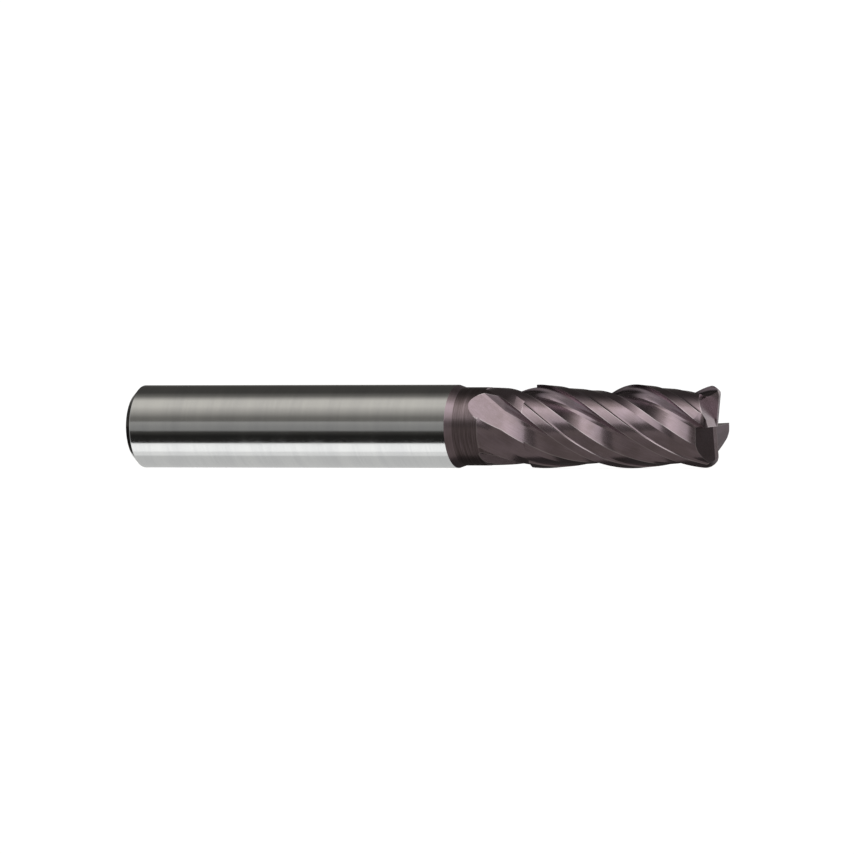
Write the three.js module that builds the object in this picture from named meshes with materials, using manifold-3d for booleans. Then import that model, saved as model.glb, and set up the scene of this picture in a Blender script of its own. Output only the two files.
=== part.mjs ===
// A solid carbide corner-radius end mill with four right-hand helical flutes, in millimetres.
// The axis is +X: x = 0 is the flat rear face of the shank and x = overallLength is the cutting end.
import * as THREE from 'three';
import { mergeVertices } from 'three/addons/utils/BufferGeometryUtils.js';
import Module from 'manifold-3d';

const wasm = await Module();
wasm.setup();

// Driving dimensions along the axis.
const overallLength = 75;
const shankEnd = 41.85;
const neckStart = 42.75;
const flutesStart = 51.7;
const endTeethStart = 72.9;

// Driving dimensions across it.
const cutRadius = 5.0;
const shankRadius = 5.0;
const rearChamfer = 0.85;
const neckRadius = 4.7;
const coreRadius = 3.5;
const cornerRadius = 1.5;
const rootStep = 0.05;

// Each tooth: where its edge meets the end, and the axial length of a quarter turn.
// The helix alternates between 37.5 and 35 degrees, so the flutes are unequally spaced along the tool.
const quarterTurn = (helix) => (Math.PI * cutRadius) / 2 / Math.tan(THREE.MathUtils.degToRad(helix));
const teeth = [
  { tip: 6, lead: quarterTurn(37.5) },
  { tip: 86, lead: quarterTurn(35) },
  { tip: 182, lead: quarterTurn(37.5) },
  { tip: 272, lead: quarterTurn(35) },
];

// The tooth's section: angle from the edge in degrees and radius. Negative angles trail the edge.
// The land is relieved, drops over a steep heel to a flatter back, and the back falls into the flute.
const land = [
  [-39, 4.49], [-28, 4.57], [-20, 4.62], [-17.3, 4.67], [-15.5, 4.83], [-8, 4.92], [0, cutRadius],
];
const fluteRadius = coreRadius + rootStep;
const rake = [[-0.9, 4.52], [0.4, 4.24], [4.2, 3.97], [8, 3.71], [11.6, fluteRadius]];
const backStart = 18;
const bendAngle = 44;
const bendRadius = 4.3;

// On the neck each flute leaves its helix at runOutStart and slides straight out of the blank.
// The tooth tops there are relieved a little from reliefEnd onwards.
const runOutStart = 49.0;
const runOutEnd = 43.2;
const runOutSlope = Math.tan(THREE.MathUtils.degToRad(37.5));
const fluteMiddle = 29;
const reliefEnd = 46.0;
const reliefRadius = 4.66;

// End grinding: the edges dish towards the axis, and each has a narrow land before the gash.
const dishAngle = 4;
const endLandWidth = 0.9;
const endLandAngle = 8;
const gashAngle = 25;

const { degToRad } = THREE.MathUtils;

function at(x, radius, degrees) {
  return [x, radius * Math.cos(degToRad(degrees)), radius * Math.sin(degToRad(degrees))];
}

function edgeAngle(index, x) {
  const turns = Math.floor(index / teeth.length);
  const tooth = teeth[index - turns * teeth.length];
  return tooth.tip + 360 * turns - (90 * (overallLength - x)) / tooth.lead;
}

const between = (a, b, t) => a.map((value, i) => value + (b[i] - value) * t);

// The back of a tooth: a steep flat up from the flute bottom, then a gentler one up to its top.
function toothBack(index, x) {
  const behind = edgeAngle(index - 1, x);
  const top = edgeAngle(index, x) + land[0][0];
  const low = at(x, fluteRadius, behind + backStart);
  const bend = at(x, bendRadius, Math.min(behind + bendAngle, top - 3));
  const high = at(x, land[0][1], top);
  return [low, between(low, bend, 1 / 3), between(low, bend, 2 / 3), bend, between(bend, high, 0.5)];
}

// The ground outline of one tooth, from the flute bottom behind it to the one ahead of it.
function toothOutline(index, x) {
  const edge = edgeAngle(index, x);
  const front = [...land, ...rake].map(([angle, radius]) => at(x, radius, edge + angle));
  return [...toothBack(index, x), ...front];
}

// The root of one tooth on the core, over the same span.
function toothRoot(index, x) {
  const start = edgeAngle(index - 1, x) + backStart;
  const end = edgeAngle(index, x) + rake[rake.length - 1][0];
  const steps = 7;
  return Array.from({ length: steps + 1 }, (_, i) => at(x, coreRadius, start + ((end - start) * i) / steps));
}

const wholeOutline = (x) => teeth.flatMap((_, index) => toothOutline(index, x));

// The flute ahead of one tooth, closed outside the blank, for cutting the neck.
function fluteOutline(index, x) {
  const held = Math.max(x, runOutStart);
  const [edge, ahead] = [edgeAngle(index, held), edgeAngle(index + 1, held)];
  const back = toothBack(index + 1, held).slice(0, 4);
  const outline = [
    at(held, 8, edge), at(held, cutRadius, edge),
    ...rake.map(([angle, radius]) => at(held, radius, edge + angle)),
    ...back, between(back[0], back[3], 3.5),
    ...[0.75, 0.5, 0.25].map((t) => at(held, 9, edge + (ahead - edge) * t)),
  ];
  const way = degToRad(edge + fluteMiddle);
  const slide = runOutSlope * (held - x);
  return outline.map(([, y, z]) => [x, y + slide * Math.sin(way), z - slide * Math.cos(way)]);
}

// What is ground off the top of one tooth on the neck.
function reliefOutline(index, x) {
  const edge = edgeAngle(index, x);
  const fade = (flutesStart - x) / (flutesStart - reliefEnd);
  const low = Math.min(edgeAngle(index - 1, x) + bendAngle + 2 - edge, -41);
  const inner = [[low, 4.42], ...land.filter(([angle]) => angle <= -20)];
  return [
    ...inner.map(([angle, radius]) => at(x, radius + (reliefRadius - radius) * fade, edge + angle)),
    at(x, neckRadius + 0.005, edge),
    ...[0, 0.33, 0.67, 1].map((t) => at(x, 6.4, edge + low * t)),
  ];
}

// Joins closed sections, in order along +X, into one closed body with flat ends.
// Each quad is split along its shorter diagonal, so two bodies that share a surface share its facets.
function loft(sections) {
  const count = sections[0].length;
  const positions = sections.flat(2);
  const gap = (i, j) =>
    Math.hypot(...[0, 1, 2].map((axis) => positions[3 * i + axis] - positions[3 * j + axis]));
  const indices = [];
  for (let s = 0; s + 1 < sections.length; s++) {
    for (let i = 0; i < count; i++) {
      const j = (i + 1) % count;
      const [a, b, c, d] = [s * count + i, s * count + j, (s + 1) * count + j, (s + 1) * count + i];
      if (gap(b, d) < gap(a, c)) indices.push(a, b, d, b, c, d);
      else indices.push(a, b, c, a, c, d);
    }
  }
  for (const [offset, facesBack] of [[0, true], [(sections.length - 1) * count, false]]) {
    const ring = positions.slice(offset * 3, (offset + count) * 3);
    const flat = Array.from({ length: count }, (_, i) => new THREE.Vector2(ring[3 * i + 1], ring[3 * i + 2]));
    for (const [a, b, c] of THREE.ShapeUtils.triangulateShape(flat, [])) {
      indices.push(offset + a, offset + (facesBack ? c : b), offset + (facesBack ? b : c));
    }
  }
  const geometry = new THREE.BufferGeometry();
  geometry.setAttribute('position', new THREE.Float32BufferAttribute(positions, 3));
  geometry.setIndex(indices);
  return geometry;
}

// A body of revolution about +X from [x, radius] points that run up the axis.
function turned(profile, segments) {
  const points = profile.map(([x, radius]) => new THREE.Vector2(radius, x));
  return new THREE.LatheGeometry(points, segments).rotateZ(-Math.PI / 2);
}

function stations(from, to, step) {
  const count = Math.ceil((to - from) / step);
  return Array.from({ length: count + 1 }, (_, i) => (i === count ? to : from + ((to - from) * i) / count));
}

function toSolid(geometry) {
  const bare = geometry.clone();
  bare.deleteAttribute('normal');
  bare.deleteAttribute('uv');
  const merged = mergeVertices(bare, 1e-4);
  return new wasm.Manifold(
    new wasm.Mesh({
      numProp: 3,
      vertProperties: new Float32Array(merged.attributes.position.array),
      triVerts: new Uint32Array(merged.index.array),
    }),
  );
}

function toGeometry(solid) {
  const { vertProperties, triVerts } = solid.getMesh();
  const geometry = new THREE.BufferGeometry();
  geometry.setAttribute('position', new THREE.Float32BufferAttribute(vertProperties, 3));
  geometry.setIndex(Array.from(triVerts));
  return geometry;
}

// The shank: a plain cylinder with a chamfered rear edge.
function shankGeometry() {
  const profile = [
    [0, 0], [0, shankRadius - rearChamfer], [rearChamfer, shankRadius],
    [shankEnd, shankRadius], [shankEnd, 0],
  ];
  return turned(profile, 64);
}

// The neck: a short lead cone, then a cylinder that the flutes run out into.
function neckGeometry() {
  const profile = [
    [shankEnd, 0], [shankEnd, shankRadius], [neckStart, neckRadius],
    [flutesStart, neckRadius], [flutesStart, 0],
  ];
  const helical = stations(runOutStart, flutesStart + 0.4, 0.75);
  const cutters = teeth.flatMap((_, index) => [
    loft([runOutEnd, ...helical].map((x) => fluteOutline(index, x).reverse())),
    loft(stations(reliefEnd, flutesStart + 0.4, 0.8).map((x) => reliefOutline(index, x).reverse())),
  ]);
  const cut = (solid, cutter) => solid.subtract(toSolid(cutter));
  return toGeometry(cutters.reduce(cut, toSolid(turned(profile, 64))));
}

// The web of the flutes, whose surface is made of the four tooth roots.
function coreGeometry() {
  const sections = stations(flutesStart, endTeethStart, 1.35);
  return loft(sections.map((x) => teeth.flatMap((_, index) => toothRoot(index, x))));
}

// One helical tooth, standing on the core.
function helicalToothGeometry(index) {
  const sections = stations(flutesStart, endTeethStart, 1.35);
  return loft(sections.map((x) => [...toothOutline(index, x), ...toothRoot(index, x).reverse()]));
}

// A quadrant behind one end cutting edge. Its top is the end land, then the slope of the gash.
// Local axes: u out along the edge, w out along the edge behind it, and x along the tool.
function quadrantGeometry(index) {
  const reach = cutRadius + 1;
  const land = Math.tan(degToRad(endLandAngle));
  const gash = Math.tan(degToRad(gashAngle));
  const dish = Math.tan(degToRad(dishAngle));
  const top = (u, w) => {
    const edge = overallLength - dish * (cutRadius - cornerRadius - u);
    return edge - land * Math.min(w, endLandWidth) - gash * Math.max(w - endLandWidth, 0);
  };
  const rows = [0, endLandWidth, reach].map((w) => [
    [endTeethStart, 0, w], [endTeethStart, reach, w], [top(reach, w), reach, w], [top(0, w), 0, w],
  ]);
  const [ahead, behind] = [edgeAngle(index, overallLength), edgeAngle(index - 1, overallLength)];
  const place = ([x, u, w]) => {
    const [, y1, z1] = at(x, u, ahead);
    const [, y2, z2] = at(x, w, behind);
    return [x, y1 + y2, z1 + z2];
  };
  const positions = rows.flat().map(place).flat();
  const indices = [0, 2, 1, 0, 3, 2, 8, 9, 10, 8, 10, 11];
  for (const row of [0, 4]) {
    for (let i = 0; i < 4; i++) {
      const [a, b] = [row + i, row + ((i + 1) % 4)];
      indices.push(a, b, b + 4, a, b + 4, a + 4);
    }
  }
  const geometry = new THREE.BufferGeometry();
  geometry.setAttribute('position', new THREE.Float32BufferAttribute(positions, 3));
  geometry.setIndex(indices);
  return geometry;
}

// The blank of the cutting end, rounded by the corner radius.
function endBlank() {
  const arc = Array.from({ length: 9 }, (_, i) => {
    const angle = degToRad(i * 11.25);
    return [
      overallLength - cornerRadius + cornerRadius * Math.sin(angle),
      cutRadius - cornerRadius + cornerRadius * Math.cos(angle),
    ];
  });
  const profile = [[endTeethStart - 1, 0], [endTeethStart - 1, cutRadius], ...arc, [overallLength, 0]];
  return toSolid(turned(profile, 96));
}

function endToothGeometries() {
  const sections = stations(endTeethStart, overallLength + 0.4, 0.5).map((x) => wholeOutline(x));
  const fluted = toSolid(loft(sections)).intersect(endBlank());
  return teeth.map((_, index) => toGeometry(fluted.intersect(toSolid(quadrantGeometry(index)))));
}

const groundCarbide = { color: 0xb4b6b5, roughness: 0.16, metalness: 1.0 };
const coatedCarbide = { color: 0x6b5c60, roughness: 0.32, metalness: 0.9 };

function addMesh(group, name, geometry, look) {
  const mesh = new THREE.Mesh(geometry, new THREE.MeshStandardMaterial({ name: `${name}_surface`, ...look }));
  mesh.name = name;
  group.add(mesh);
}

const endMill = new THREE.Group();
addMesh(endMill, 'shank', shankGeometry(), groundCarbide);
addMesh(endMill, 'neck', neckGeometry(), coatedCarbide);
addMesh(endMill, 'core', coreGeometry(), coatedCarbide);
teeth.forEach((_, i) => addMesh(endMill, `helical_tooth_${i + 1}`, helicalToothGeometry(i), coatedCarbide));
endToothGeometries().forEach((end, i) => addMesh(endMill, `end_tooth_${i + 1}`, end, coatedCarbide));

export default endMill;
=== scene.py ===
import math

import bmesh
import bpy
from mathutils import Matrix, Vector, kdtree


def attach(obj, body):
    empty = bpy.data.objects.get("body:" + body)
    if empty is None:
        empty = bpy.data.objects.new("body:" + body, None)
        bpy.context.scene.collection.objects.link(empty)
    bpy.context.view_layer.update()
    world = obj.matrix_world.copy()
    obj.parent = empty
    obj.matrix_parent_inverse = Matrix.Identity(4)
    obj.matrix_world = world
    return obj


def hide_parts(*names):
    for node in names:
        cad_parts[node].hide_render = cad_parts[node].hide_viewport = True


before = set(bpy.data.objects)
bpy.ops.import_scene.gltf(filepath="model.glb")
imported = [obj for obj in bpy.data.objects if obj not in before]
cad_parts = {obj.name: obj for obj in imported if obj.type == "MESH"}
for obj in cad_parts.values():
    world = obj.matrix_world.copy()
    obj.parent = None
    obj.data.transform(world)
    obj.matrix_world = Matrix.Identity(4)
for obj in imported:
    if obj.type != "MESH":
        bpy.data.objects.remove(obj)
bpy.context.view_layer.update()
print("frame loaded")

mm = 0.001

# the whole ground blank, in mm, with the axis along x and the cutting end at the far end
blank = {
    "length": 75.0,
    "shankEnd": 41.85,
    "neckStart": 42.75,
    "flutesStart": 51.7,
    "endStart": 72.9,
    "radius": 5.0,
    "neckRadius": 4.7,
    "cornerRadius": 1.5,
    "aroundSteps": 288,
}

# the four teeth: where each edge meets the end, in degrees, and its helix angle
flutes = {
    "tips": [6, 86, 182, 272],
    "helix": [37.5, 35, 37.5, 35],
    "coreRadius": 3.55,
    "rootRadius": 3.45,
    "backStart": 18,
    "bend": (44, 4.3),
    "backSteps": (18, 12),
    "rootSteps": 16,
    "land": [(-39, 4.49), (-35, 4.521), (-30, 4.557), (-25, 4.59), (-21, 4.613), (-19.2, 4.628),
             (-18.2, 4.643), (-17.3, 4.668), (-16.6, 4.705), (-16.1, 4.75), (-15.6, 4.81),
             (-15.4, 4.832), (-14.8, 4.843), (-12, 4.873), (-8, 4.915), (-4, 4.957), (-1.2, 4.988),
             (-0.5, 4.995), (0, 5.0)],
    "rake": [(0, 5.0), (-0.5, 4.8), (-0.9, 4.52), (0.4, 4.24), (4.2, 3.97), (8, 3.71),
             (10.9, 3.56), (11.6, 3.55)],
    "step": 0.15,
}

# on the neck each flute leaves its helix and runs straight out, and the tooth tops are relieved
runOut = {
    "start": 49.0,
    "end": 43.2,
    "across": 0.767,  # how far it slides for each mm along
    "middle": 29,
    "clearFront": 8,
    "clearBack": 4.5,
    "clearOutside": 9,
}
relief = {"end": 46.0, "radius": 4.66, "floor": 4.42, "past": 2, "lowest": -41, "landTo": -20, "clear": 6.4}
pastCut = 0.4  # how far the cutters run on beyond the neck

quarterTurn = [math.pi * blank["radius"] / 2 / math.tan(math.radians(h)) for h in flutes["helix"]]


def edgeAngle(tooth, x):
    turns, k = divmod(tooth, 4)
    return flutes["tips"][k] + 360 * turns - 90 * (blank["length"] - x) / quarterTurn[k]


def at(x, radius, degrees):
    a = math.radians(degrees)
    return (x, radius * math.cos(a), radius * math.sin(a))


def smoothCurve(points, steps):
    # passes through every point, with the ends held
    held = [points[0]] + list(points) + [points[-1]]
    out = []
    for a, b, c, d in zip(held, held[1:], held[2:], held[3:]):
        for i in range(steps):
            t = i / steps
            out.append(tuple(
                0.5 * (2 * q + (r - p) * t + (2 * p - 5 * q + 4 * r - s) * t * t
                       + (3 * q - p - 3 * r + s) * t ** 3)
                for p, q, r, s in zip(a, b, c, d)))
    out.append(points[-1])
    return out


rakeCurve = smoothCurve(flutes["rake"][1:], 5)


def toothBack(tooth, x):
    # a steep flat up from the flute bottom, then a gentler one up to the relieved top
    behind, top = edgeAngle(tooth - 1, x), edgeAngle(tooth, x) + flutes["land"][0][0]
    low = Vector(at(x, flutes["coreRadius"], behind + flutes["backStart"]))
    bend = Vector(at(x, flutes["bend"][1], min(behind + flutes["bend"][0], top - 3)))
    high = Vector(at(x, flutes["land"][0][1], top))
    steep, gentle = flutes["backSteps"]
    rise = [low.lerp(bend, i / steep) for i in range(steep)]
    return rise + [bend.lerp(high, i / gentle) for i in range(gentle)]


def toothOutline(tooth, x):
    # from the flute bottom behind the tooth, over its back, heel and land, and down its rake face
    edge = edgeAngle(tooth, x)
    return toothBack(tooth, x) + [at(x, r, edge + a) for a, r in flutes["land"] + rakeCurve]


def toothRoot(tooth, x):
    start = edgeAngle(tooth - 1, x) + flutes["backStart"]
    end = edgeAngle(tooth, x) + flutes["rake"][-1][0]
    count = flutes["rootSteps"]
    return [at(x, flutes["rootRadius"], start + (end - start) * i / count) for i in range(count + 1)]


def wholeOutline(x):
    return [p for tooth in range(4) for p in toothOutline(tooth, x)]


def fluteOutline(tooth, x):
    # the flute ahead of a tooth, closed outside the blank
    # nearer the shank than the start of the run-out it slides straight out
    held = max(x, runOut["start"])
    edge, ahead = edgeAngle(tooth, held), edgeAngle(tooth + 1, held)
    back = toothBack(tooth + 1, held)[:flutes["backSteps"][0] + 1]
    line = [at(held, runOut["clearFront"], edge), at(held, blank["radius"], edge)]
    line += [at(held, r, edge + a) for a, r in rakeCurve] + back
    line.append(back[-1] + runOut["clearBack"] * (back[-1] - back[0]).normalized())
    line += [at(held, runOut["clearOutside"], edge + (ahead - edge) * t) for t in (0.75, 0.5, 0.25)]
    way = math.radians(edge + runOut["middle"])
    slide = runOut["across"] * (held - x)
    return [(x, y + slide * math.sin(way), z - slide * math.cos(way)) for _, y, z in line]


def reliefOutline(tooth, x):
    # what is ground off the top of a tooth on the neck
    edge = edgeAngle(tooth, x)
    fade = (blank["flutesStart"] - x) / (blank["flutesStart"] - relief["end"])
    low = min(edgeAngle(tooth - 1, x) + flutes["bend"][0] + relief["past"] - edge, relief["lowest"])
    inner = [(low, relief["floor"])] + [p for p in flutes["land"] if p[0] <= relief["landTo"]]
    line = [at(x, r + (relief["radius"] - r) * fade, edge + a) for a, r in inner]
    line.append(at(x, blank["neckRadius"] + 0.005, edge))
    return line + [at(x, relief["clear"], edge + low * t) for t in (0, 0.33, 0.67, 1)]


def stations(start, end, step):
    # close pairs at both ends keep the shading true up to a flush joint
    count = math.ceil((end - start) / step)
    inner = [start + (end - start) * i / count for i in range(1, count)]
    return [start, start + 0.02] + inner + [end - 0.02, end]


def meshFrom(name, points, faces):
    mesh = bpy.data.meshes.new(name)
    mesh.from_pydata([Vector(p) * mm for p in points], [], faces)
    shell = bmesh.new()
    shell.from_mesh(mesh)
    bmesh.ops.recalc_face_normals(shell, faces=shell.faces)
    shell.to_mesh(mesh)
    shell.free()
    piece = bpy.data.objects.new(name, mesh)
    bpy.context.scene.collection.objects.link(piece)
    return piece


def loft(name, rings):
    count = len(rings[0])
    points = [p for ring in rings for p in ring]
    faces = [list(range(count))[::-1], [(len(rings) - 1) * count + i for i in range(count)]]
    for s in range(len(rings) - 1):
        for i in range(count):
            j = (i + 1) % count
            faces.append((s * count + i, s * count + j, (s + 1) * count + j, (s + 1) * count + i))
    return meshFrom(name, points, faces)


def turned(name, profile, around):
    # profile is (x, radius), from the axis to the axis
    points, faces = [(profile[0][0], 0, 0), (profile[-1][0], 0, 0)], []
    rings = profile[1:-1]
    for x, radius in rings:
        points += [at(x, radius, 360 * i / around) for i in range(around)]
    for i in range(around):
        j = (i + 1) % around
        faces.append((0, 2 + j, 2 + i))
        last = 2 + (len(rings) - 1) * around
        faces.append((1, last + i, last + j))
        for s in range(len(rings) - 1):
            a = 2 + s * around
            faces.append((a + i, a + j, a + around + j, a + around + i))
    return meshFrom(name, points, faces)


def combine(piece, operation, *others):
    for other in others:
        cut = piece.modifiers.new("cut", "BOOLEAN")
        cut.operation, cut.solver, cut.object = operation, "MANIFOLD", other
    bpy.context.view_layer.update()
    solid = bpy.data.meshes.new_from_object(piece.evaluated_get(bpy.context.evaluated_depsgraph_get()))
    piece.modifiers.clear()
    piece.data = solid
    return piece


def discard(*pieces):
    for piece in pieces:
        bpy.data.objects.remove(piece, do_unlink=True)


def spread(values):
    # a line of points with steps of about 0.3 between the given ones
    out = []
    for (xa, ra), (xb, rb) in zip(values, values[1:]):
        count = max(1, math.ceil(math.hypot(xb - xa, rb - ra) / 0.3))
        out += [(xa + (xb - xa) * i / count, ra + (rb - ra) * i / count) for i in range(count)]
    return out + [values[-1]]


# the bare ground shank
shank = {"chamfer": 0.85, "edgeRound": 0.06}


def makeShank():
    c, e, r, end = shank["chamfer"], shank["edgeRound"], blank["radius"], blank["shankEnd"]
    rear = spread([(0, 0), (0, r - c - e)])
    bend = [(0.02 * e, r - c - 0.5 * e), (0.3 * e, r - c)]
    slope = spread([(0.7 * e, r - c + 0.45 * e), (c - 0.7 * e, r - 0.45 * e)])
    corner = [(c, r - 0.14 * e), (c + 0.5 * e, r - 0.02 * e)]
    body = spread([(c + e, r), (end, r)])
    return turned("shankBody", rear + bend + slope + corner + body + [(end, 0)], blank["aroundSteps"])


def makeNeck():
    a, b, c, r = blank["shankEnd"], blank["neckStart"], blank["flutesStart"], blank["neckRadius"]
    line = [(a, 0)] + spread([(a, blank["radius"]), (b, r)])[:-1] + spread([(b, r), (c, r)]) + [(c, 0)]
    piece = turned("neckBody", line, blank["aroundSteps"])
    long = stations(runOut["end"], c + pastCut, flutes["step"])
    short = stations(relief["end"], c + pastCut, flutes["step"])
    cutters = [loft("flute", [fluteOutline(k, x) for x in long]) for k in range(4)]
    cutters += [loft("relief", [reliefOutline(k, x) for x in short]) for k in range(4)]
    combine(piece, "DIFFERENCE", *cutters)
    discard(*cutters)
    return piece


def makeCore():
    a, b, r = blank["flutesStart"], blank["endStart"], flutes["coreRadius"]
    return turned("coreBody", [(a, 0)] + spread([(a, r), (b, r)]) + [(b, 0)], blank["aroundSteps"])


def makeHelicalTooth(tooth):
    rings = [
        toothOutline(tooth, x) + toothRoot(tooth, x)[::-1]
        for x in stations(blank["flutesStart"], blank["endStart"], flutes["step"])
    ]
    return loft("helicalTooth%d" % (tooth + 1), rings)


# the end grinding: edges that dish to the axis, a narrow land and the slope of the gash
endGrind = {
    "dish": 4,
    "landWidth": 0.9,
    "landAngle": 8,
    "gashAngle": 25,
    "cells": 44,
    "landCells": 8,
    "levels": 16,
    "past": 0.6,
}


def makeQuadrant(tooth):
    reach = blank["radius"] + endGrind["past"]
    slope = {k: math.tan(math.radians(endGrind[k])) for k in ("dish", "landAngle", "gashAngle")}
    ahead, behind = edgeAngle(tooth, blank["length"]), edgeAngle(tooth - 1, blank["length"])
    n, few, levels = endGrind["cells"], endGrind["landCells"], endGrind["levels"]
    low, land = blank["endStart"], endGrind["landWidth"]
    sides = [reach * i / n for i in range(n + 1)]
    backs = [land * i / few for i in range(few)]
    backs += [land + (reach - land) * i / (n - few) for i in range(n - few + 1)]

    def place(x, u, w):
        p, q = at(x, u, ahead), at(x, w, behind)
        return (x, p[1] + q[1], p[2] + q[2])

    def top(u, w):
        edge = blank["length"] - slope["dish"] * (blank["radius"] - blank["cornerRadius"] - u)
        return edge - slope["landAngle"] * min(w, land) - slope["gashAngle"] * max(w - land, 0)

    points, index, faces = [], {}, []

    def corner(i, j, level):
        key = (i, j, level)
        if key not in index:
            u, w = sides[i], backs[j]
            index[key] = len(points)
            points.append(place(low + (top(u, w) - low) * level / levels, u, w))
        return index[key]

    for i in range(n):
        for j in range(n):
            for level in (0, levels):
                faces.append([corner(i + a, j + b, level) for a, b in ((0, 0), (1, 0), (1, 1), (0, 1))])
    for i in range(n):
        for level in range(levels):
            for edge in (0, n):
                faces.append([corner(i, edge, level), corner(i + 1, edge, level),
                              corner(i + 1, edge, level + 1), corner(i, edge, level + 1)])
                faces.append([corner(edge, i, level), corner(edge, i + 1, level),
                              corner(edge, i + 1, level + 1), corner(edge, i, level + 1)])
    return meshFrom("quadrant%d" % tooth, points, faces)


def makeEndTeeth():
    low, length, r, c = blank["endStart"], blank["length"], blank["radius"], blank["cornerRadius"]
    arc = [(length - c + c * math.sin(math.radians(3 * i)), r - c + c * math.cos(math.radians(3 * i)))
           for i in range(31)]
    line = [(low - 0.5, 0), (low - 0.5, r)] + spread([(low - 0.4, r), (length - c - 0.01, r)]) + arc
    rounded = turned("rounded", line + [(length, 0)], blank["aroundSteps"])
    fluted = loft("fluted", [wholeOutline(x) for x in stations(low, length + 0.4, 0.1)])
    teeth = []
    for tooth in range(4):
        piece = makeQuadrant(tooth)
        piece.name = piece.data.name = "endTooth%d" % (tooth + 1)
        teeth.append(combine(piece, "INTERSECT", fluted, rounded))
    discard(rounded, fluted)
    return teeth


pieces = {"shank": makeShank()}
print("shank made")
pieces["neck"] = makeNeck()
pieces["core"] = makeCore()
print("neck and core made")
for k in range(4):
    pieces["helical_tooth_%d" % (k + 1)] = makeHelicalTooth(k)
print("helical teeth made")
for k, piece in enumerate(makeEndTeeth()):
    pieces["end_tooth_%d" % (k + 1)] = piece
print("end teeth made")


# which creases stay hard and which count as ground edges, in degrees; lengths in mm
edges = {
    "hard": 13,
    "ground": 24,
    "pointEvery": 0.05,
    "far": 2.0,
    "weld": 0.0002,
    "flat": 0.01,
    "flush": 0.03,
}


def finishEdges(node, piece):
    # hard edges by angle, then each point's distance to the nearest ground edge, in mm
    mesh = piece.data
    shell = bmesh.new()
    shell.from_mesh(mesh)
    bmesh.ops.remove_doubles(shell, verts=shell.verts, dist=edges["weld"] * mm)
    ground = []
    for face in shell.faces:
        face.smooth = True
    for edge in shell.edges:
        if len(edge.link_faces) != 2:
            continue
        bend = edge.calc_face_angle(0)
        edge.smooth = bend < math.radians(edges["hard"])
        if bend > math.radians(edges["ground"]) and edge.is_convex and isGroundEdge(node, edge):
            a, b = edge.verts[0].co, edge.verts[1].co
            count = max(1, math.ceil((b - a).length / (edges["pointEvery"] * mm)))
            ground += [a.lerp(b, i / count) for i in range(count + 1)]
    shell.to_mesh(mesh)
    shell.free()
    near = kdtree.KDTree(max(1, len(ground)))
    for i, p in enumerate(ground):
        near.insert(p, i)
    near.balance()
    values = mesh.attributes.new("edgeDistance", "FLOAT", "POINT")
    for i, v in enumerate(mesh.vertices):
        found = near.find(v.co) if ground else None
        values.data[i].value = min(edges["far"], found[2] / mm) if found else edges["far"]


def isGroundEdge(node, edge):
    # leaves out the flush joints between neighbouring pieces
    a, b = edge.verts[0].co / mm, edge.verts[1].co / mm
    radius = min(math.hypot(a.y, a.z), math.hypot(b.y, b.z))
    flat = abs(a.x - b.x) < edges["flat"]
    if node in ("shank", "core"):
        return False
    if flat and abs(a.x - blank["endStart"]) < edges["flush"]:
        return False
    if flat and abs(a.x - blank["flutesStart"]) < edges["flush"]:
        return radius > blank["neckRadius"] + 0.02
    if flat and abs(a.x - blank["shankEnd"]) < edges["flush"]:
        return False
    if node.startswith("helical") and radius < 4.2:
        return False
    if node.startswith("end"):
        if radius < 4.3 and abs(a.x - b.x) > 0.6 * (a - b).length:
            return False
        k = int(node[-1]) - 1
        behind = math.radians(edgeAngle(k - 1, blank["length"]))
        side = [abs(p.y * math.sin(behind) - p.z * math.cos(behind)) for p in (a, b)]
        return max(side) > edges["flush"]
    return True


for node, piece in pieces.items():
    finishEdges(node, piece)
    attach(piece, "root")
    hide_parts(node)
    "ground_carbide" if node == "shank" else "coated_carbide"
print("edges ground")


class Wire:
    # a socket that can be used in ordinary arithmetic
    def __init__(self, board, socket):
        self.board, self.socket = board, socket

    def maths(self, operation, *others):
        return self.board.maths(operation, self, *others)

    def __add__(self, other):
        return self.maths("ADD", other)

    __radd__ = __add__

    def __sub__(self, other):
        return self.maths("SUBTRACT", other)

    def __rsub__(self, other):
        return self.board.maths("SUBTRACT", other, self)

    def __mul__(self, other):
        return self.maths("MULTIPLY", other)

    __rmul__ = __mul__

    def __truediv__(self, other):
        return self.maths("DIVIDE", other)

    def __rtruediv__(self, other):
        return self.board.maths("DIVIDE", other, self)

    def __pow__(self, other):
        return self.maths("POWER", other)

    def __gt__(self, other):
        return self.maths("GREATER_THAN", other)

    def __lt__(self, other):
        return self.maths("LESS_THAN", other)


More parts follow.
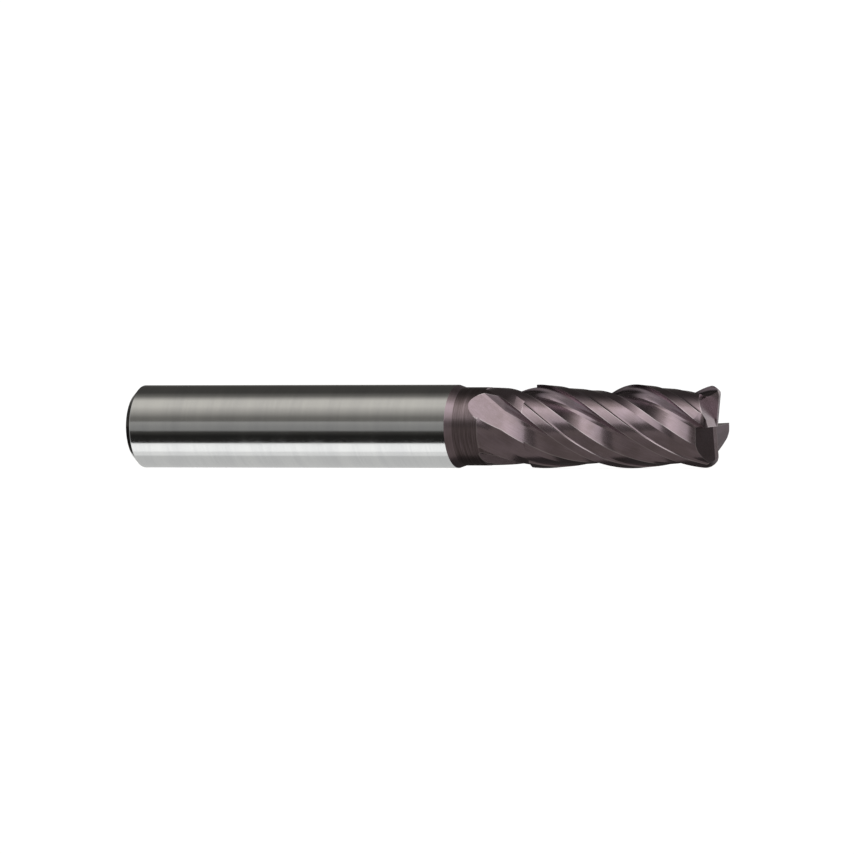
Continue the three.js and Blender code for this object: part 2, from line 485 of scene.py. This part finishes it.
class Board:
    # one node tree, cleared, with a method that adds any node
    def __init__(self, tree):
        self.tree = tree
        tree.nodes.clear()

    def add(self, kind, settings=None, **sockets):
        node = self.tree.nodes.new(kind)
        for key, value in (settings or {}).items():
            if key == "stops":
                ramp = node.color_ramp
                while len(ramp.elements) > 1:
                    ramp.elements.remove(ramp.elements[-1])
                ramp.elements[0].position, ramp.elements[0].color = value[0][0], (*value[0][1], 1)
                for place, colour in value[1:]:
                    ramp.elements.new(place).color = (*colour, 1)
            else:
                setattr(node, key, value)
        for key, value in sockets.items():
            plain = key.replace("_", " ").strip().lower()
            socket = next(s for s in node.inputs
                          if s.enabled and plain in (s.name.lower(), s.identifier.lower().replace("_", " ")))
            self.join(value, socket)
        return node

    def join(self, value, socket):
        if isinstance(value, Wire):
            self.tree.links.new(value.socket, socket)
        elif socket.type == "RGBA" and len(value) == 3:
            socket.default_value = (*value, 1)
        else:
            socket.default_value = value

    def out(self, node, name=None):
        if name is None:
            return Wire(self, next(s for s in node.outputs if s.enabled))
        return Wire(self, node.outputs[name])

    def maths(self, operation, *values):
        node = self.tree.nodes.new("ShaderNodeMath")
        node.operation = operation
        for value, socket in zip(values, node.inputs):
            self.join(value, socket)
        return Wire(self, node.outputs[0])

    def between(self, value, low, high):
        # 0 below low, 1 above high, eased
        node = self.add("ShaderNodeMapRange", {"interpolation_type": "SMOOTHSTEP"},
                        Value=value, From_Min=low, From_Max=high)
        return self.out(node, "Result")

    def blend(self, factor, a, b):
        node = self.add("ShaderNodeMix", {"data_type": "RGBA"}, Factor=factor, A=a, B=b)
        return self.out(node)

    def vector(self, x, y, z):
        return self.out(self.add("ShaderNodeCombineXYZ", X=x, Y=y, Z=z))

    def noise(self, where, scale, detail=2.0, roughness=0.5):
        node = self.add("ShaderNodeTexNoise", Vector=where, Scale=scale, Detail=detail, Roughness=roughness)
        return self.out(node, "Fac")


def toolCoordinates(board):
    # position in mm: along the axis, the radius, and the angle round it in radians
    place = board.out(board.add("ShaderNodeTexCoord"), "Object")
    parts = board.add("ShaderNodeSeparateXYZ", Vector=place)
    x, y, z = (board.out(parts, s) * 1000 for s in "XYZ")
    return place, x, y, z, (y * y + z * z) ** 0.5, board.maths("ARCTAN2", z, y)


def newMaterial(name):
    material = bpy.data.materials.new(name)
    material.use_nodes = True
    return material, Board(material.node_tree)


# bare carbide, cylindrical ground almost to a mirror
groundFinish = {
    "light": (0.80, 0.81, 0.80),
    "dark": (0.72, 0.73, 0.73),
    "gloss": 0.10,
    "lineDepth": 0.0000012,
    # noise as scale, detail and roughness
    "lineNoise": (9.0, 4.0, 0.7),
    "broadNoise": (1.0, 3.0, 0.6),
    "cloudNoise": (260.0, 3.0, 0.6),
    "ringNoise": (8.0, 3.0, 0.6),
}


def makeGroundCarbide():
    material, b = newMaterial("groundCarbide")
    place, x, y, z, radius, angle = toolCoordinates(b)
    around = b.vector(x, y * 0.02, z * 0.02)
    lines = b.noise(around, *groundFinish["lineNoise"])
    broad = b.noise(b.vector(x * 0.35, y * 0.05, z * 0.05), *groundFinish["broadNoise"])
    cloud = b.noise(place, *groundFinish["cloudNoise"])
    rings = b.noise(b.vector(radius, x, 0.0), *groundFinish["ringNoise"])
    rear = x < 0.05
    cut = lines + (rings - lines) * rear
    shade = b.between(broad * 0.6 + lines * 0.4, 0.35, 0.65)
    colour = b.blend(shade, groundFinish["dark"], groundFinish["light"])
    gloss = groundFinish["gloss"] + cut * 0.06 + b.between(cloud, 0.5, 0.8) * 0.05
    bump = b.out(b.add("ShaderNodeBump", Strength=0.5, Distance=groundFinish["lineDepth"], Height=cut))
    shader = b.add("ShaderNodeBsdfPrincipled", Base_Color=colour, Metallic=1.0, Roughness=gloss, Normal=bump)
    b.add("ShaderNodeOutputMaterial", Surface=b.out(shader))
    return material


# the same carbide under a thin purple-brown hard coating
coatedFinish = {
    "plum": (0.45, 0.36, 0.41),
    "brown": (0.355, 0.284, 0.305),
    "neck": (0.18, 0.143, 0.147),
    # edge: the lighter colour along ground edges, partly worn coating and partly a painted highlight for the
    # glint of the honed edges
    "edge": (0.62, 0.55, 0.58),
    "gloss": 0.16,
    "lineDepth": 0.000004,
    "lineHelix": 36.2,
    "fluteNoise": (7.0, 4.0, 0.65),
    "neckNoise": (7.0, 4.0, 0.7),
    "endNoise": (5.0, 3.0, 0.7),
    "cloudNoise": (420.0, 3.0, 0.6),
    "wearAndPaintedGlint": 0.8,
}


def makeCoatedCarbide():
    material, b = newMaterial("coatedCarbide")
    place, x, y, z, radius, angle = toolCoordinates(b)
    lead = math.tan(math.radians(coatedFinish["lineHelix"])) / blank["radius"]
    wound = angle - x * lead  # the same all along one flute
    turnedX, turnedY = b.maths("COSINE", wound), b.maths("SINE", wound)
    alongFlute = b.vector(turnedX * radius, turnedY * radius, x * 0.06)
    fluteLines = b.noise(alongFlute, *coatedFinish["fluteNoise"])
    neckLines = b.noise(b.vector(x, y * 0.03, z * 0.03), *coatedFinish["neckNoise"])
    endLines = b.noise(b.vector(x * 1.2, y * 0.4 + z * 1.6, 0.0), *coatedFinish["endNoise"])
    onNeck = (x < blank["flutesStart"]) * (radius > blank["neckRadius"] - 0.03)
    onEnd = b.between(x, blank["endStart"] + 0.5, blank["endStart"] + 0.9) * b.between(3.7 - radius, 0.0, 0.2)
    lines = fluteLines + (neckLines - fluteLines) * onNeck
    lines = lines + (endLines - lines) * onEnd
    cloud = b.noise(place, *coatedFinish["cloudNoise"])
    shade = b.between(cloud * 0.55 + lines * 0.45, 0.36, 0.66)
    colour = b.blend(shade, coatedFinish["brown"], coatedFinish["plum"])
    onBody = onNeck * (x > blank["neckStart"]) * (radius > blank["neckRadius"] - 0.01)
    colour = b.blend(onBody * b.between(neckLines, 0.25, 0.6), colour, coatedFinish["neck"])
    distance = b.out(b.add("ShaderNodeAttribute", {"attribute_name": "edgeDistance"}), "Fac")
    # lighter coating within about 0.1 mm of the ground edges: partly wear, partly a painted highlight
    # standing in for the edges' glint
    wearAndPaintedGlint = (1 - b.between(distance + (cloud - 0.5) * 0.06, 0.03, 0.11)) * coatedFinish["wearAndPaintedGlint"]
    colour = b.blend(wearAndPaintedGlint, colour, coatedFinish["edge"])
    gloss = coatedFinish["gloss"] + lines * 0.12 + onNeck * 0.08
    bump = b.out(b.add("ShaderNodeBump", Strength=0.5, Distance=coatedFinish["lineDepth"], Height=lines))
    shader = b.add("ShaderNodeBsdfPrincipled", Base_Color=colour, Metallic=1.0, Roughness=gloss, Normal=bump)
    b.add("ShaderNodeOutputMaterial", Surface=b.out(shader))
    return material


groundCarbide, coatedCarbide = makeGroundCarbide(), makeCoatedCarbide()
for node, piece in pieces.items():
    piece.data.materials.clear()
    piece.data.materials.append(groundCarbide if node == "shank" else coatedCarbide)
print("finishes made")

# a long lens, level with the axis, turned a little towards the cutting end
view = {"turn": 22.0, "distance": 1141.0, "lookAt": 37.71, "drop": 0.08, "across": 102.6}

# the studio: a soft room, dark low down and high behind, and lamps as strips along the tool
studio = {
    "around": [  # degrees up from straight in front, and how bright
        (-180, 0.05), (-60, 0.04), (-45, 0.015), (-26, 0.012), (-14, 0.05), (0, 0.08), (12, 0.14),
        (25, 0.17), (42, 0.40), (58, 0.60), (76, 0.60), (92, 0.16), (108, 0.055), (150, 0.055), (176, 0.25),
    ],
    "warm": (1.0, 0.96, 0.9),
    "wall": 0.36,
    "wallRise": 0.6,
    "patch": 0.3,
    "backdrop": 1.05,
    "floorGlow": 0.82,
    "floorSize": 2.4,
    "floorGap": 0.03,
}

# each strip lamp: the angles it spans, its brightness, and whether it lights the shank or the head
lamps = {
    "tableBounce": {"span": (-176, -48), "bright": 0.41, "lights": "shank", "tint": (1, 1, 1)},
    "tableNear": {"span": (-90, -48), "bright": 0.19, "lights": "shank", "tint": (1, 1, 1)},
    "tableEdge": {"span": (-75, -49), "bright": 0.2, "lights": "shank", "tint": (1, 1, 1)},
    "front": {"span": (-13, 13), "bright": 0.14, "lights": "shank", "tint": (1, 1, 1)},
    "softbox": {"span": (20, 68), "bright": 0.42, "lights": "head", "tint": (1, 1, 1)},
    "fill": {"span": (-96, -2), "bright": 0.13, "lights": "head", "tint": (1.0, 0.93, 0.86)},
}
lampShape = {"distance": 0.5, "length": 1.5}


def makeStudio():
    world = bpy.data.worlds.new("studio")
    bpy.context.scene.world = world
    world.use_nodes = True
    b = Board(world.node_tree)
    way = b.add("ShaderNodeSeparateXYZ", Vector=b.out(b.add("ShaderNodeTexCoord"), "Generated"))
    x, y, z = (b.out(way, s) for s in "XYZ")
    around = b.maths("ARCTAN2", z, y * -1) / (2 * math.pi) + 0.5
    stops = [((a + 180) / 360, tuple(v * t for t in studio["warm"])) for a, v in studio["around"]]
    ring = b.add("ShaderNodeValToRGB", {"stops": stops}, Fac=around)
    ends = (b.between(x, -0.85, -0.45) * 0.85 + 0.15) * (1 - b.between(x, 0.8, 0.95) * 0.6)
    # the wall behind, which only the end grinding mirrors
    wall = b.between(y, 0.55, 0.9) * b.between(x, -0.15, 0.05) * (1 - b.between(x, 0.42, 0.55))
    wall = wall * (studio["wall"] + z * studio["wallRise"])
    # and a pale patch towards the shank end, for its flat face
    wall = wall + (1 - b.between(x, -0.75, -0.5)) * b.between(y * -1, -0.25, 0.1) * studio["patch"]
    lit = b.out(b.add("ShaderNodeVectorMath", {"operation": "SCALE"},
                      Vector=b.out(ring, "Color"), Scale=ends))
    lit = b.out(b.add("ShaderNodeVectorMath", {"operation": "ADD"},
                      Vector=lit, Vector_001=b.vector(wall, wall, wall)))
    light = b.out(b.add("ShaderNodeBackground", Color=lit, Strength=1.0))
    white = b.out(b.add("ShaderNodeBackground", Color=(1, 1, 1), Strength=studio["backdrop"]))
    seen = b.out(b.add("ShaderNodeLightPath"), "Is Camera Ray")
    mixed = b.add("ShaderNodeMixShader")
    b.join(seen, mixed.inputs[0])
    b.join(light, mixed.inputs[1])
    b.join(white, mixed.inputs[2])
    b.add("ShaderNodeOutputWorld", Surface=b.out(mixed))


def makeLamps():
    groups = {}
    for name in ("shank", "head"):
        groups[name] = bpy.data.collections.new(name + "Lit")
        for node, piece in pieces.items():
            if (node == "shank") == (name == "shank"):
                groups[name].objects.link(piece)
    middle = Vector((view["lookAt"], 0, 0)) * mm
    for name, make in lamps.items():
        low, high = (math.radians(a) for a in make["span"])
        turn, half = (low + high) / 2, (high - low) / 2
        width = 2 * lampShape["distance"] * math.tan(half)
        light = bpy.data.lights.new(name, "AREA")
        light.shape, light.size, light.size_y = "RECTANGLE", lampShape["length"], width
        light.color = make["tint"]
        light.energy = 4 * make["bright"] * lampShape["length"] * width
        lamp = bpy.data.objects.new(name, light)
        scene.collection.objects.link(lamp)
        back = Vector((0, -math.cos(turn), math.sin(turn)))
        lamp.location = middle + back * lampShape["distance"]
        lamp.rotation_euler = (math.pi / 2 - turn, 0, 0)
        lamp.visible_camera = False
        lamp.light_linking.receiver_collection = groups[make["lights"]]


def makeFloor():
    s = studio["floorSize"] / 2 / mm
    z = -blank["radius"] - studio["floorGap"]
    floor = meshFrom("floor", [(-s, -s, z), (s, -s, z), (s, s, z), (-s, s, z)], [(0, 1, 2, 3)])
    material, b = newMaterial("paleFloor")
    shader = b.add("ShaderNodeBsdfPrincipled", Base_Color=(0.86, 0.86, 0.86), Roughness=0.9,
                   Emission_Color=(1, 1, 1), Emission_Strength=studio["floorGlow"])
    b.add("ShaderNodeOutputMaterial", Surface=b.out(shader))
    floor.data.materials.append(material)
    # the lamps below the table stand for its bounce, so the floor lets them through
    floor.visible_glossy = floor.visible_shadow = False


scene = bpy.context.scene
scene.view_settings.view_transform = "Standard"
makeStudio()
makeLamps()
makeFloor()
print("studio made")


def makeCamera():
    lens = bpy.data.cameras.new("camera")
    lens.sensor_width = 36
    lens.lens = 36 * view["distance"] / view["across"]
    lens.clip_start, lens.clip_end = 0.01, 20
    camera = bpy.data.objects.new("camera", lens)
    scene.collection.objects.link(camera)
    a = math.radians(view["turn"])
    camera.location = Vector((view["lookAt"] + view["distance"] * math.sin(a),
                              -view["distance"] * math.cos(a), -view["drop"])) * mm
    camera.rotation_euler = (math.pi / 2, 0, a)
    scene.camera = camera


makeCamera()
print("camera placed")
